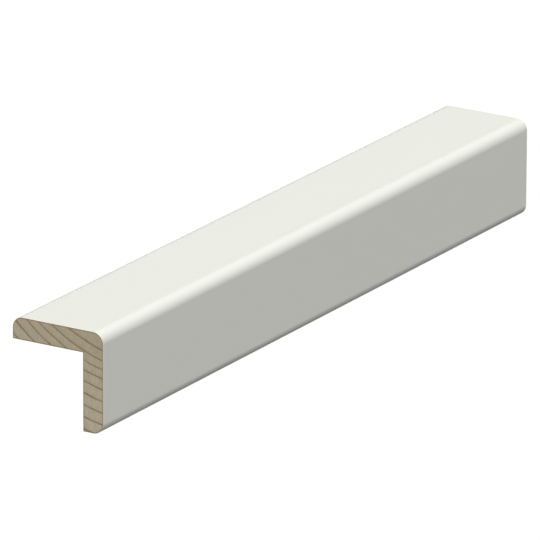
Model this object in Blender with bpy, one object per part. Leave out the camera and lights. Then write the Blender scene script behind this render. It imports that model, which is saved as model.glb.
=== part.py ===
"""An outside corner moulding: one short length of L-shaped pine trim that caps the corner of a wall.

The profile lies in the XZ plane and the length runs along Y. Sizes are in metres.
The origin is the middle of the top leg's back face, the face that seats on the wall.
"""

import math

import bmesh
import bpy

# The length shown, cut square at both ends.
LENGTH = 0.212

# Outside width of each leg, measured from the outer corner to the leg's edge.
TOP_LEG_WIDTH = 0.027
FRONT_LEG_HEIGHT = 0.027

# The thickness of the wood in each leg.
TOP_LEG_THICKNESS = 0.006
FRONT_LEG_THICKNESS = 0.006

# The roundings of the show side: the corner itself, and the outer arris of each leg's edge.
NOSE_RADIUS = 0.003
TOP_EDGE_RADIUS = 0.003
FRONT_EDGE_RADIUS = 0.003

# Straight facets in each quarter-round.
ARC_STEPS = 24

# Finish of the show faces, and of the bare wood at the sawn ends and on the back.
PAINT_COLOUR = (0.80, 0.81, 0.76, 1.0)
PAINT_ROUGHNESS = 0.42
PINE_COLOUR = (0.58, 0.49, 0.33, 1.0)
PINE_ROUGHNESS = 0.75

PAINT_SLOT = 0
PINE_SLOT = 1


def clear_scene():
    for thing in list(bpy.data.objects):
        bpy.data.objects.remove(thing)


def finish(name, colour, roughness):
    material = bpy.data.materials.new(name)
    material.use_nodes = True
    shader = material.node_tree.nodes["Principled BSDF"]
    shader.inputs["Base Color"].default_value = colour
    shader.inputs["Roughness"].default_value = roughness
    shader.inputs["Metallic"].default_value = 0.0
    return material


def quarter_round(corner_x, corner_z, radius, toward_x, toward_z, start_degrees):
    """Points of a quarter circle that rounds the corner, turning clockwise from its start angle.

    toward_x and toward_z are +1 or -1, and point from the corner into the wood.
    """
    centre_x = corner_x + toward_x * radius
    centre_z = corner_z + toward_z * radius
    points = []
    for step in range(ARC_STEPS + 1):
        angle = math.radians(start_degrees - 90.0 * step / ARC_STEPS)
        points.append((centre_x + radius * math.cos(angle), centre_z + radius * math.sin(angle)))
    return points


def profile():
    """The L-shaped outline, clockwise as seen along +Y, with the inner corner left square."""
    back_width = TOP_LEG_WIDTH - FRONT_LEG_THICKNESS
    left = -back_width / 2
    inner_x = back_width / 2
    right = inner_x + FRONT_LEG_THICKNESS
    top = TOP_LEG_THICKNESS
    bottom = top - FRONT_LEG_HEIGHT
    # A rounding can't be larger than the wood that it is cut into.
    top_edge_radius = min(TOP_EDGE_RADIUS, TOP_LEG_THICKNESS)
    front_edge_radius = min(FRONT_EDGE_RADIUS, FRONT_LEG_THICKNESS)
    return [
        (left, 0.0),
        *quarter_round(left, top, top_edge_radius, 1, -1, 180.0),
        *quarter_round(right, top, NOSE_RADIUS, -1, -1, 90.0),
        *quarter_round(right, bottom, front_edge_radius, -1, 1, 0.0),
        (inner_x, bottom),
        (inner_x, 0.0),
    ]


def is_bare(face):
    """The sawn ends and the two back faces are bare wood. The outer and edge faces are painted."""
    normal = face.normal
    middle = face.calc_center_median()
    sawn_end = abs(normal.y) > 0.5
    inner_x = (TOP_LEG_WIDTH - FRONT_LEG_THICKNESS) / 2
    top_leg_back = normal.z < -0.999 and abs(middle.z) < TOP_LEG_THICKNESS / 2
    front_leg_back = normal.x < -0.999 and abs(middle.x - inner_x) < FRONT_LEG_THICKNESS / 2
    return sawn_end or top_leg_back or front_leg_back


def corner_moulding():
    """The profile as one face at the near end, drawn out to the far end."""
    shape = bmesh.new()
    outline = [shape.verts.new((x, -LENGTH / 2, z)) for x, z in profile()]
    near_end = shape.faces.new(outline)
    drawn = bmesh.ops.extrude_face_region(shape, geom=[near_end], use_keep_orig=True)
    far_verts = [item for item in drawn["geom"] if isinstance(item, bmesh.types.BMVert)]
    bmesh.ops.translate(shape, verts=far_verts, vec=(0.0, LENGTH, 0.0))
    bmesh.ops.remove_doubles(shape, verts=shape.verts, dist=1e-7)
    bmesh.ops.recalc_face_normals(shape, faces=shape.faces)
    for face in shape.faces:
        face.material_index = PINE_SLOT if is_bare(face) else PAINT_SLOT
    mesh = bpy.data.meshes.new("corner_moulding")
    shape.to_mesh(mesh)
    shape.free()
    mesh.materials.append(finish("white_paint", PAINT_COLOUR, PAINT_ROUGHNESS))
    mesh.materials.append(finish("bare_pine", PINE_COLOUR, PINE_ROUGHNESS))
    mesh.shade_smooth()
    mesh.set_sharp_from_angle(angle=math.radians(30.0))
    moulding = bpy.data.objects.new("corner_moulding", mesh)
    bpy.context.scene.collection.objects.link(moulding)
    return moulding


def main():
    clear_scene()
    corner_moulding()


main()
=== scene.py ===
"""An outside corner moulding of painted pine, seen from its near end and from above its nose."""

import math

import bpy
from mathutils import Matrix, Vector


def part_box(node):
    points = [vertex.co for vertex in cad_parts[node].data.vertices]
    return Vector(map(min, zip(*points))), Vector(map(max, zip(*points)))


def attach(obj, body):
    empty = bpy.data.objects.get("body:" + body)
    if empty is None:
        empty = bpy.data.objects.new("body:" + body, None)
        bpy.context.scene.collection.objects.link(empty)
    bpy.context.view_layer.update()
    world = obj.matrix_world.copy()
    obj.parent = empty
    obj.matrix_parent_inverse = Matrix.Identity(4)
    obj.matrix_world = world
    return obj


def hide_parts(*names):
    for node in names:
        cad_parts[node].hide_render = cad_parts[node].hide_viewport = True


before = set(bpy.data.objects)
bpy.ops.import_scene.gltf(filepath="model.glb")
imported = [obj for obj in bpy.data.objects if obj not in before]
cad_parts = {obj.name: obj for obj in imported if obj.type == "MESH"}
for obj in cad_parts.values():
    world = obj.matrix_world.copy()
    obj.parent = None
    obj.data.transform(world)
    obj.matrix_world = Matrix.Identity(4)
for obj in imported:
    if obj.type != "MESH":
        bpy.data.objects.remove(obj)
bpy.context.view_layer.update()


# The camera
# It looks down on the near end from the front leg's side, from far off through a long lens,
# so that the moulding's long edges draw together only a little.
AIM = Vector((0.00686, -0.01042, -0.00562))
AIM_DISTANCE = 2.4007
AZIMUTH = math.radians(31.54)
ELEVATION = math.radians(18.31)
ROLL = math.radians(0.194)
SENSOR_WIDTH = 36.0
LENS = 616.0

back = Vector((
    math.sin(AZIMUTH) * math.cos(ELEVATION),
    -math.cos(AZIMUTH) * math.cos(ELEVATION),
    math.sin(ELEVATION),
))
level = Vector((math.cos(AZIMUTH), math.sin(AZIMUTH), 0.0))
right = Matrix.Rotation(ROLL, 3, back) @ level
turn = Matrix((right, back.cross(right), back)).transposed()

camera = bpy.data.objects.new("camera", bpy.data.cameras.new("camera"))
camera.data.sensor_width = SENSOR_WIDTH
camera.data.lens = LENS
camera.matrix_world = Matrix.Translation(AIM + AIM_DISTANCE * back) @ turn.to_4x4()
bpy.context.scene.collection.objects.link(camera)
bpy.context.scene.camera = camera


# The moulding
# One stick of pine, planed to an L by a moulding cutter that also rounds the nose and the outer
# arris of each leg's edge. Its show faces are sprayed with satin white. It is then cut square, so
# that both ends are bare sawn pine, as its two planed backs are. Glue and pins hold it to the wall.
ROUNDING = 0.003
ARC_STEPS = 24
CUT_ARRIS = 0.00005
RIM_WIDTH = 0.0003
SHARP_EDGE = math.radians(30.0)
TOUCHING = 1e-6
NEARLY_ONE = 0.99

# The backs meet at the inner corner. The top leg's back lies at the height of the origin, and the
# other back is as far to the right of the origin as the top leg's edge is to the left of it.
low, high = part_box("corner_moulding")
LENGTH = high.y - low.y
INNER_X = -low.x
INNER_Z = 0.0


def feed(tree, socket, value):
    """Links the value to the socket if it is another socket, or else sets it there."""
    if isinstance(value, bpy.types.NodeSocket):
        tree.links.new(value, socket)
    else:
        socket.default_value = value


def add(tree, kind, inputs=None, **settings):
    """Adds a node with these settings. inputs says what its sockets take, by name or place."""
    node = tree.nodes.new(kind)
    for name, value in settings.items():
        setattr(node, name, value)
    for name, value in (inputs or {}).items():
        feed(tree, node.inputs[name], value)
    return node


def maths(tree, operation, *values):
    """The number that a Math node puts out."""
    return add(tree, "ShaderNodeMath", dict(enumerate(values)), operation=operation).outputs[0]


def between(tree, factor, first, last):
    """The number that goes from first to last as the factor goes from 0 to 1."""
    return maths(tree, "MULTIPLY_ADD", factor, last - first, first)


def vector_maths(tree, operation, *values):
    """The vector that a Vector Math node puts out."""
    return add(tree, "ShaderNodeVectorMath", dict(enumerate(values)), operation=operation).outputs[0]


def scaled(tree, vector, factor):
    """The vector, or colour, times the factor."""
    inputs = {"Vector": vector, "Scale": factor}
    return add(tree, "ShaderNodeVectorMath", inputs, operation="SCALE").outputs[0]


def split(tree, vector):
    """The X, Y and Z sockets of a vector."""
    return add(tree, "ShaderNodeSeparateXYZ", {"Vector": vector}).outputs


def along(tree, axis, distance):
    """The vector of that distance along one axis."""
    return add(tree, "ShaderNodeCombineXYZ", {axis: distance}).outputs[0]


def new_group(name, kind, inputs, outputs):
    """A node tree with these sockets, what its input node gives and what its output node takes."""
    tree = bpy.data.node_groups.new(name, kind)
    for socket_name, socket_type, default in inputs:
        socket = tree.interface.new_socket(socket_name, in_out="INPUT", socket_type=socket_type)
        if default is not None:
            socket.default_value = default
    for socket_name, socket_type in outputs:
        tree.interface.new_socket(socket_name, in_out="OUTPUT", socket_type=socket_type)
    given = tree.nodes.new("NodeGroupInput").outputs
    result = tree.nodes.new("NodeGroupOutput").inputs
    return tree, given, result


def joined(tree, *shapes):
    """The shapes as one geometry."""
    node = tree.nodes.new("GeometryNodeJoinGeometry")
    for shape in shapes:
        tree.links.new(shape, node.inputs[0])
    return node.outputs[0]


def eased_out(tree, shape, points, outward, distance):
    """The shape with those points moved out of the wood by that distance."""
    inputs = {"Geometry": shape, "Selection": points, "Offset": scaled(tree, outward, distance)}
    return add(tree, "GeometryNodeSetPosition", inputs).outputs[0]


def drawn_out(tree, mesh, loop, distance):
    """The mesh with that loop of edges drawn out along Z, and the new loop."""
    inputs = {"Mesh": mesh, "Selection": loop, "Offset": along(tree, "Z", distance)}
    node = add(tree, "GeometryNodeExtrudeMesh", inputs, mode="EDGES")
    return node.outputs["Mesh"], node.outputs["Top"]


def rounded_outline(tree, given):
    """The L's outline, rounded, with the way out of the wood and which points lie on a back."""
    inputs = {"Name": "rounding"}
    radius = add(tree, "GeometryNodeInputNamedAttribute", inputs, data_type="FLOAT").outputs[0]
    corners = add(tree, "GeometryNodeMeshToCurve", {"Mesh": given["Outline"]}).outputs[0]
    inputs = {"Curve": corners, "Count": given["Arc steps"], "Radius": radius}
    outline = add(tree, "GeometryNodeFilletCurve", inputs, mode="POLY").outputs[0]

    # At a square corner the way out is a diagonal, so that both of its sides move as far as the rest.
    tangent = add(tree, "GeometryNodeInputTangent").outputs[0]
    square = maths(tree, "LESS_THAN", radius, TOUCHING)
    reach = between(tree, square, 1.0, math.sqrt(2.0))
    outward = scaled(tree, vector_maths(tree, "CROSS_PRODUCT", tangent, (0.0, 0.0, 1.0)), reach)

    position = add(tree, "GeometryNodeInputPosition").outputs[0]
    from_corner = split(tree, vector_maths(tree, "SUBTRACT", position, given["Inner corner"]))
    kept = tree.nodes.new("GeometryNodeCaptureAttribute")
    for name, kind, field in (
        ("Outward", "VECTOR", outward),
        ("Top leg's back", "FLOAT", maths(tree, "COMPARE", from_corner["Y"], 0.0, TOUCHING)),
        ("Front leg's back", "FLOAT", maths(tree, "COMPARE", from_corner["X"], 0.0, TOUCHING)),
    ):
        kept.capture_items.new(kind, name)
        tree.links.new(field, kept.inputs[name])
    tree.links.new(outline, kept.inputs["Geometry"])
    backs = (kept.outputs["Top leg's back"], kept.outputs["Front leg's back"])
    return kept.outputs["Geometry"], kept.outputs["Outward"], backs


def long_walls(tree, given, cut, outward):
    """The long faces from one cut to the other, eased by a very small arris at both."""
    arris = given["Cut arris"]
    full_run = maths(tree, "SUBTRACT", given["Length"], maths(tree, "MULTIPLY", arris, 2.0))
    walls = add(tree, "GeometryNodeCurveToMesh", {"Curve": cut}).outputs[0]
    walls, loop = drawn_out(tree, walls, True, arris)
    walls = eased_out(tree, walls, loop, outward, arris)
    walls, loop = drawn_out(tree, walls, loop, full_run)
    walls, loop = drawn_out(tree, walls, loop, arris)
    walls = eased_out(tree, walls, loop, outward, maths(tree, "MULTIPLY", arris, -1.0))
    return add(tree, "GeometryNodeFlipFaces", {"Mesh": walls}).outputs[0]


def sawn_face(tree, given, cut, outward):
    """One cut: its middle, and a narrow rim whose attribute falls from 1 at the edge to 0."""
    inwards = maths(tree, "MULTIPLY", given["Rim width"], -1.0)
    rim = add(tree, "GeometryNodeCurveToMesh", {"Curve": cut}).outputs[0]
    rim, inner_loop = drawn_out(tree, rim, True, 0.0)
    rim = eased_out(tree, rim, inner_loop, outward, inwards)
    inputs = {"Geometry": rim, "Name": "rim", "Value": between(tree, inner_loop, 1.0, 0.0)}
    stored = {"data_type": "FLOAT", "domain": "CORNER"}
    rim = add(tree, "GeometryNodeStoreNamedAttribute", inputs, **stored).outputs[0]
    rim = add(tree, "GeometryNodeFlipFaces", {"Mesh": rim}).outputs[0]
    inner_line = eased_out(tree, cut, True, outward, inwards)
    middle = add(tree, "GeometryNodeFillCurve", {"Curve": inner_line}, mode="NGONS").outputs[0]
    return joined(tree, middle, rim)


def moulded_stick():
    """Rounds the outline, draws it out along Z, closes both cuts, and lays the stick along Y."""
    tree, given, result = new_group(
        "moulded stick",
        "GeometryNodeTree",
        [
            ("Outline", "NodeSocketGeometry", None),
            ("Length", "NodeSocketFloat", 1.0),
            ("Arc steps", "NodeSocketInt", 8),
            ("Cut arris", "NodeSocketFloat", 0.0),
            ("Rim width", "NodeSocketFloat", 0.0),
            ("Inner corner", "NodeSocketVector", None),
            ("Paint", "NodeSocketMaterial", None),
            ("Planed pine", "NodeSocketMaterial", None),
            ("Sawn pine", "NodeSocketMaterial", None),
        ],
        [("Moulding", "NodeSocketGeometry")],
    )
    outline, outward, backs = rounded_outline(tree, given)
    inwards = maths(tree, "MULTIPLY", given["Cut arris"], -1.0)
    cut = eased_out(tree, outline, True, outward, inwards)
    walls = long_walls(tree, given, cut, outward)
    near_face = sawn_face(tree, given, cut, outward)
    far_face = add(tree, "GeometryNodeFlipFaces", {"Mesh": near_face}).outputs[0]
    inputs = {"Geometry": near_face, "Translation": along(tree, "Z", given["Length"])}
    near_face = add(tree, "GeometryNodeTransform", inputs).outputs[0]
    inputs = {"Geometry": joined(tree, walls, near_face, far_face), "Distance": TOUCHING}
    closed = add(tree, "GeometryNodeMergeByDistance", inputs).outputs[0]

    # Turning it by a quarter round X brings the near face to the front and the outline upright.
    half_length = maths(tree, "MULTIPLY", given["Length"], 0.5)
    inputs = {
        "Geometry": closed,
        "Translation": along(tree, "Y", half_length),
        "Rotation": (math.radians(90.0), 0.0, 0.0),
    }
    laid = add(tree, "GeometryNodeTransform", inputs).outputs[0]
    angle = add(tree, "GeometryNodeInputMeshEdgeAngle").outputs["Unsigned Angle"]
    crisp = maths(tree, "GREATER_THAN", angle, SHARP_EDGE)
    inputs = {"Geometry": laid, "Selection": crisp, "Shade Smooth": False}
    shaded = add(tree, "GeometryNodeSetShadeSmooth", inputs, domain="EDGE").outputs[0]

    # On a face the numbers of its points are averaged, so a back's own faces are those left at 1.
    normal = split(tree, add(tree, "GeometryNodeInputNormal").outputs[0])
    on_a_back = maths(tree, "GREATER_THAN", maths(tree, "MAXIMUM", *backs), NEARLY_ONE)
    on_a_cut = maths(tree, "GREATER_THAN", maths(tree, "ABSOLUTE", normal["Y"]), NEARLY_ONE)
    finish = add(tree, "GeometryNodeRealizeInstances", {"Geometry": shaded}).outputs[0]
    for name, faces in (("Paint", True), ("Planed pine", on_a_back), ("Sawn pine", on_a_cut)):
        inputs = {"Geometry": finish, "Selection": faces, "Material": given[name]}
        finish = add(tree, "GeometryNodeSetMaterial", inputs).outputs[0]
    feed(tree, result["Moulding"], finish)
    return tree


# The tree that the stick was sawn from. Its pith ran nearly along the length, above the nose and
# outside the front leg, so the yearly rings cross both ends as arcs and show as lines on the backs.
PITH = (0.0268, low.y, 0.0418)
PITH_LEAN = (0.012, 0.0, -0.016)
FIRST_RING = 0.041755
RING_SPACING = 0.003104
RING_WANDER = 0.00025
WANDER_FEATURE = (0.0077, 0.128, 0.0077)
# A few slow years, with their rings closer together, in the middle of the stick.
SLOW_YEARS_RADIUS = 0.04632
SLOW_YEARS_WIDTH = 0.003422
SLOW_YEARS_EXTRA = 0.4031
# Parts of a year. The wood darkens a little from summer on. Then comes the dark line of latewood.
SUMMER_STARTS = 0.45
SUMMER_DARKENING = 0.15
LINE_STARTS = 0.775
LINE_FULL = 0.87
LINE_MIDDLE = 0.90
LINE_FADES = 0.93
LINE_ENDS = 1.0
# Each line is stronger in some stretches than in others.
WEAK_STRETCH = 0.50
STRONG_STRETCH = 1.36
MOST_LATEWOOD = 1.1
STRETCH_FEATURE = (0.0029, 0.048, 0.0029)
# The wood is darkest and warmest next to the heart, and some years are paler than others.
HEART_RADIUS = 0.039
OUTER_RADIUS = 0.060
HEART_TINT = (0.915, 0.885, 0.82, 1.0)
WHITE = (1.0, 1.0, 1.0, 1.0)
YEAR_CONTRAST = 0.012


def noise(tree, position, feature, detail=2.0):
    """Noise from 0 to 1 with features of that size along X, Y and Z, in the position's own units."""
    inputs = {"Vector": vector_maths(tree, "DIVIDE", position, feature), "Scale": 1.0, "Detail": detail}
    return add(tree, "ShaderNodeTexNoise", inputs).outputs[0]


def ramp(tree, value, start, end):
    """The smooth change from 0 where the value is at start to 1 where it is at end."""
    inputs = {"Value": value, "From Min": start, "From Max": end}
    return add(tree, "ShaderNodeMapRange", inputs, interpolation_type="SMOOTHSTEP").outputs[0]


def mixed(tree, factor, first, second):
    """The colour between first and second, or past second where the factor is over 1."""
    # A Mix node takes its two colours at places 6 and 7, and gives the mixed one at place 2.
    inputs = {"Factor": factor, 6: first, 7: second}
    return add(tree, "ShaderNodeMix", inputs, data_type="RGBA", clamp_factor=False).outputs[2]


def varied(tree, colour, factor, contrast):
    """The colour, made up to that much darker or lighter as the factor goes from 0 to 1."""
    return scaled(tree, colour, between(tree, factor, 1.0 - contrast, 1.0 + contrast))


def pine():
    """Pine at a point of the tree: its colour, its latewood, and where the point lies round the pith."""
    tree, given, result = new_group(
        "pine",
        "ShaderNodeTree",
        [
            ("Position", "NodeSocketVector", None),
            ("Early wood", "NodeSocketColor", None),
            ("Late wood", "NodeSocketColor", None),
            ("Pith", "NodeSocketVector", PITH),
            ("Lean", "NodeSocketVector", PITH_LEAN),
            ("First ring", "NodeSocketFloat", FIRST_RING),
            ("Spacing", "NodeSocketFloat", RING_SPACING),
            ("Wander", "NodeSocketFloat", RING_WANDER),
        ],
        [
            ("Colour", "NodeSocketColor"),
            ("Latewood", "NodeSocketFloat"),
            ("Radius", "NodeSocketFloat"),
            ("Angle", "NodeSocketFloat"),
        ],
    )
    from_pith = vector_maths(tree, "SUBTRACT", given["Position"], given["Pith"])
    lean = scaled(tree, given["Lean"], split(tree, from_pith)["Y"])
    across = split(tree, vector_maths(tree, "SUBTRACT", from_pith, lean))
    squares = [maths(tree, "MULTIPLY", across[axis], across[axis]) for axis in "XZ"]
    distance = maths(tree, "SQRT", maths(tree, "ADD", *squares))
    wave = between(tree, noise(tree, given["Position"], WANDER_FEATURE, detail=4.0), -1.0, 1.0)
    radius = maths(tree, "MULTIPLY_ADD", wave, given["Wander"], distance)

    past_first = maths(tree, "SUBTRACT", radius, given["First ring"])
    steady = maths(tree, "DIVIDE", past_first, given["Spacing"])
    past_slow = maths(tree, "SUBTRACT", radius, SLOW_YEARS_RADIUS)
    step = maths(tree, "TANH", maths(tree, "DIVIDE", past_slow, SLOW_YEARS_WIDTH))
    extra = maths(tree, "MULTIPLY_ADD", step, SLOW_YEARS_EXTRA, SLOW_YEARS_EXTRA + LINE_MIDDLE)
    years = maths(tree, "ADD", steady, extra)
    season = maths(tree, "FRACT", years)
    summer = maths(tree, "MULTIPLY", ramp(tree, season, SUMMER_STARTS, LINE_FULL), SUMMER_DARKENING)
    line = maths(tree, "MAXIMUM", summer, ramp(tree, season, LINE_STARTS, LINE_FULL))
    fading = maths(tree, "MULTIPLY", line, ramp(tree, season, LINE_ENDS, LINE_FADES))

    # The wood nearer the pith than the first line has no lines.
    shows = maths(tree, "MULTIPLY", fading, maths(tree, "GREATER_THAN", years, SUMMER_STARTS))
    stretches = noise(tree, given["Position"], STRETCH_FEATURE, detail=1.0)
    strength = between(tree, stretches, WEAK_STRETCH, STRONG_STRETCH)
    latewood = maths(tree, "MINIMUM", maths(tree, "MULTIPLY", shows, strength), MOST_LATEWOOD)

    wood = mixed(tree, latewood, given["Early wood"], given["Late wood"])
    tint = mixed(tree, ramp(tree, radius, OUTER_RADIUS, HEART_RADIUS), WHITE, HEART_TINT)
    inputs = {"W": maths(tree, "FLOOR", years)}
    year = add(tree, "ShaderNodeTexWhiteNoise", inputs, noise_dimensions="1D").outputs["Value"]
    colour = varied(tree, vector_maths(tree, "MULTIPLY", wood, tint), year, YEAR_CONTRAST)
    feed(tree, result["Colour"], colour)
    feed(tree, result["Latewood"], latewood)
    feed(tree, result["Radius"], radius)
    feed(tree, result["Angle"], maths(tree, "ARCTAN2", across["X"], across["Z"]))
    return tree


PINE = pine()


def new_material(name):
    """A material, its tree and shader, the object's own coordinates, and the pine there."""
    material = bpy.data.materials.new(name)
    material.use_nodes = True
    tree = material.node_tree
    shader = tree.nodes["Principled BSDF"]
    position = add(tree, "ShaderNodeTexCoord").outputs["Object"]
    wood = add(tree, "ShaderNodeGroup", node_tree=PINE)
    feed(tree, wood.inputs["Position"], position)
    return material, tree, shader, position, wood


def bumped(tree, shader, *layers):
    """Turns the shader's normal by heights laid over each other, each with its depth in metres."""
    inputs = {}
    for height, depth in layers:
        inputs.update({"Height": height, "Distance": depth})
        inputs["Normal"] = add(tree, "ShaderNodeBump", inputs).outputs[0]
    feed(tree, shader.inputs["Normal"], inputs["Normal"])


PAINT_WHITE = (0.840, 0.848, 0.782)
PAINT_CLOUD = (0.03, 0.11, 0.03)
CLOUD_CONTRAST = 0.005
PAINT_SHEEN = (0.004, 0.04, 0.004)
DULLEST = 0.49
SHINIEST = 0.41
PAINT_PEEL = (0.0011, 0.0011, 0.0011)
PEEL_DEPTH = 2.2e-6
LATEWOOD_UNDER_PAINT = 2e-6


def satin_paint():
    """Sprayed satin white, with a faint orange peel and the hard latewood just felt through it."""
    material, tree, shader, position, wood = new_material("satin white paint")
    cloud = noise(tree, position, PAINT_CLOUD)
    feed(tree, shader.inputs["Base Color"], varied(tree, PAINT_WHITE, cloud, CLOUD_CONTRAST))
    sheen = noise(tree, position, PAINT_SHEEN)
    feed(tree, shader.inputs["Roughness"], between(tree, sheen, DULLEST, SHINIEST))
    peel = noise(tree, position, PAINT_PEEL)
    latewood = wood.outputs["Latewood"]
    bumped(tree, shader, (latewood, LATEWOOD_UNDER_PAINT), (peel, PEEL_DEPTH))
    return material


LATEWOOD_STANDS = 6e-6


def bare_pine(name, roughness, early, late, surface):
    """Unpainted pine. surface adds its own cut's marks: it gives the colour with them, and heights."""
    material, tree, shader, position, wood = new_material(name)
    feed(tree, shader.inputs["Roughness"], roughness)
    feed(tree, wood.inputs["Early wood"], early)
    feed(tree, wood.inputs["Late wood"], late)
    colour, heights = surface(tree, position, wood.outputs)
    feed(tree, shader.inputs["Base Color"], colour)
    bumped(tree, shader, (wood.outputs["Latewood"], LATEWOOD_STANDS), *heights)
    return material


SAWN_ROUGHNESS = 0.8
SAWN_EARLY = (0.595, 0.538, 0.401, 1.0)
SAWN_LATE = (0.362, 0.248, 0.125, 1.0)
SAW_MARKS = (0.0005, 0.0005, 0.0025)
SAW_CONTRAST = 0.18
SAW_DEPTH = 1e-5
# Round the pith in radians, and out from it in metres. The third place takes no part.
RAYS = (0.011, 0.006, 1.0)
RAY_CONTRAST = 0.07
FIBRE_ENDS = (0.0003, 0.0003, 0.0003)
END_CONTRAST = 0.23
END_DEPTH = 8e-6
RIM_DARKENING = 0.75


def sawn_surface(tree, position, wood):
    """Short upright saw marks, rays out from the pith, open fibre ends, and a darker rim."""
    saw = noise(tree, position, SAW_MARKS)
    round_pith = {"X": wood["Angle"], "Y": wood["Radius"]}
    rays = noise(tree, add(tree, "ShaderNodeCombineXYZ", round_pith).outputs[0], RAYS, detail=3.0)
    ends = noise(tree, position, FIBRE_ENDS)
    colour = varied(tree, wood["Colour"], saw, SAW_CONTRAST)
    colour = varied(tree, colour, rays, RAY_CONTRAST)
    colour = varied(tree, colour, ends, END_CONTRAST)
    rim = add(tree, "ShaderNodeAttribute", attribute_name="rim").outputs["Fac"]
    colour = mixed(tree, maths(tree, "MULTIPLY", rim, RIM_DARKENING), colour, SAWN_LATE)
    return colour, ((saw, SAW_DEPTH), (ends, END_DEPTH))


PLANED_ROUGHNESS = 0.6
PLANED_EARLY = (0.62, 0.54, 0.385, 1.0)
PLANED_LATE = (0.43, 0.32, 0.185, 1.0)
LONG_FIBRES = (0.00045, 0.038, 0.00045)
FIBRE_CONTRAST = 0.12
FIBRE_DEPTH = 8e-6
WOOD_PATCHES = (0.011, 0.074, 0.011)
PATCH_CONTRAST = 0.03
CUTTER_PITCH = 0.0016
CUTTER_DEPTH = 5e-7


def planed_surface(tree, position, wood):
    """Long fibres, and the even ripple that the moulding cutter leaves across them."""
    fibres = noise(tree, position, LONG_FIBRES, detail=3.0)
    patches = noise(tree, position, WOOD_PATCHES)
    colour = varied(tree, wood["Colour"], fibres, FIBRE_CONTRAST)
    colour = varied(tree, colour, patches, PATCH_CONTRAST)
    turns = maths(tree, "MULTIPLY", split(tree, position)["Y"], math.tau / CUTTER_PITCH)
    ripple = maths(tree, "SINE", turns)
    return colour, ((fibres, FIBRE_DEPTH), (ripple, CUTTER_DEPTH))


def outline_of_l():
    """The L's six corners in the XY plane, each with the radius that it is rounded to."""
    corners = (
        (low.x, INNER_Z, 0.0),
        (INNER_X, INNER_Z, 0.0),
        (INNER_X, low.z, 0.0),
        (high.x, low.z, ROUNDING),
        (high.x, high.z, ROUNDING),
        (low.x, high.z, ROUNDING),
    )
    mesh = bpy.data.meshes.new("outline")
    edges = [(index, (index + 1) % len(corners)) for index in range(len(corners))]
    mesh.from_pydata([(x, z, 0.0) for x, z, _ in corners], edges, [])
    radii = mesh.attributes.new("rounding", "FLOAT", "POINT")
    radii.data.foreach_set("value", [radius for _, _, radius in corners])
    return mesh


def made_with(tree, name, pattern, values):
    """Runs the tree on the pattern mesh, evens out the shading, and returns a plain mesh object."""
    maker = bpy.data.objects.new(name + "_maker", pattern)
    bpy.context.scene.collection.objects.link(maker)
    making = maker.modifiers.new("making", "NODES")
    making.node_group = tree
    for item in tree.interface.items_tree:
        if item.name in values:
            making[item.identifier] = values[item.name]
    even = maker.modifiers.new("even shading", "WEIGHTED_NORMAL")
    even.keep_sharp = True
    graph = bpy.context.evaluated_depsgraph_get()
    mesh = bpy.data.meshes.new_from_object(maker.evaluated_get(graph), depsgraph=graph)
    bpy.data.objects.remove(maker)
    piece = bpy.data.objects.new(name, mesh)
    bpy.context.scene.collection.objects.link(piece)
    return piece


moulding = made_with(
    moulded_stick(),
    "painted_moulding",
    outline_of_l(),
    {
        "Length": LENGTH,
        "Arc steps": ARC_STEPS,
        "Cut arris": CUT_ARRIS,
        "Rim width": RIM_WIDTH,
        "Inner corner": (INNER_X, INNER_Z, 0.0),
        "Paint": satin_paint(),
        "Planed pine": bare_pine(
            "planed pine", PLANED_ROUGHNESS, PLANED_EARLY, PLANED_LATE, planed_surface
        ),
        "Sawn pine": bare_pine("sawn pine", SAWN_ROUGHNESS, SAWN_EARLY, SAWN_LATE, sawn_surface),
    },
)
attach(moulding, "root")
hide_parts("corner_moulding")


# The floor and the light
# A white floor, far enough below to show no shadow of the moulding, throws a little light back up.
# One very broad soft light hangs overhead, off the front leg's side. A second one, low on the far
# side, lights only the backs and the far end, which this camera doesn't see.
FLOOR_DEPTH = 0.4
FLOOR_SIZE = 30.0
FLOOR_BOUNCE = 0.17
SEEN_WHITE = 1.02
OVERHEAD_FROM = Vector((0.292, -0.375, 0.88))
OVERHEAD_STRENGTH = 4.02
OVERHEAD_WIDTH = math.radians(98.0)
FAR_SIDE_FROM = Vector((-0.6, 0.5, -0.62))
FAR_SIDE_STRENGTH = 2.6
FAR_SIDE_WIDTH = math.radians(30.0)

# The colours are shown as they are, with no film curve.
bpy.context.scene.view_settings.view_transform = "Standard"


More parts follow.
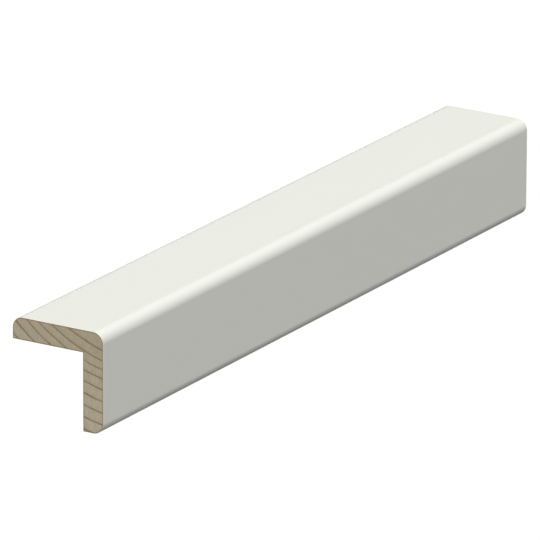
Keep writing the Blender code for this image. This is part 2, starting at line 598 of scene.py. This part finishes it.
def soft_light(name, comes_from, strength, width):
    """A far light as wide as that, which lights the surfaces but isn't mirrored in them."""
    light = bpy.data.objects.new(name, bpy.data.lights.new(name, "SUN"))
    light.data.energy = strength
    light.data.angle = width
    light.visible_glossy = False
    light.rotation_mode = "QUATERNION"
    light.rotation_quaternion = comes_from.to_track_quat("Z", "Y")
    bpy.context.scene.collection.objects.link(light)


soft_light("overhead light", OVERHEAD_FROM, OVERHEAD_STRENGTH, OVERHEAD_WIDTH)
soft_light("far side light", FAR_SIDE_FROM, FAR_SIDE_STRENGTH, FAR_SIDE_WIDTH)

# Only the camera sees the white room, so that it adds no light of its own.
world = bpy.data.worlds.new("white room")
world.use_nodes = True
room = world.node_tree
seen = between(room, add(room, "ShaderNodeLightPath").outputs["Is Camera Ray"], 0.0, SEEN_WHITE)
feed(room, room.nodes["Background"].inputs["Color"], WHITE)
feed(room, room.nodes["Background"].inputs["Strength"], seen)
bpy.context.scene.world = world


def white_floor():
    """White to the camera, a dim glow to the moulding, and clear to a camera beneath it."""
    material = bpy.data.materials.new("white floor")
    material.use_nodes = True
    tree = material.node_tree
    tree.nodes.remove(tree.nodes["Principled BSDF"])
    by_camera = add(tree, "ShaderNodeLightPath").outputs["Is Camera Ray"]
    glow = between(tree, by_camera, FLOOR_BOUNCE, SEEN_WHITE)
    lit = add(tree, "ShaderNodeEmission", {"Strength": glow}).outputs[0]
    clear = add(tree, "ShaderNodeBsdfTransparent").outputs[0]
    from_below = add(tree, "ShaderNodeNewGeometry").outputs["Backfacing"]
    sides = add(tree, "ShaderNodeMixShader", {0: from_below, 1: lit, 2: clear}).outputs[0]
    feed(tree, tree.nodes["Material Output"].inputs["Surface"], sides)
    return material


half = FLOOR_SIZE / 2
floor_z = low.z - FLOOR_DEPTH
floor_plan = ((-half, -half), (half, -half), (half, half), (-half, half))
floor_mesh = bpy.data.meshes.new("floor")
floor_mesh.from_pydata([(x, y, floor_z) for x, y in floor_plan], [], [(0, 1, 2, 3)])
floor_mesh.materials.append(white_floor())
floor = bpy.data.objects.new("floor", floor_mesh)
floor.visible_shadow = False
bpy.context.scene.collection.objects.link(floor)
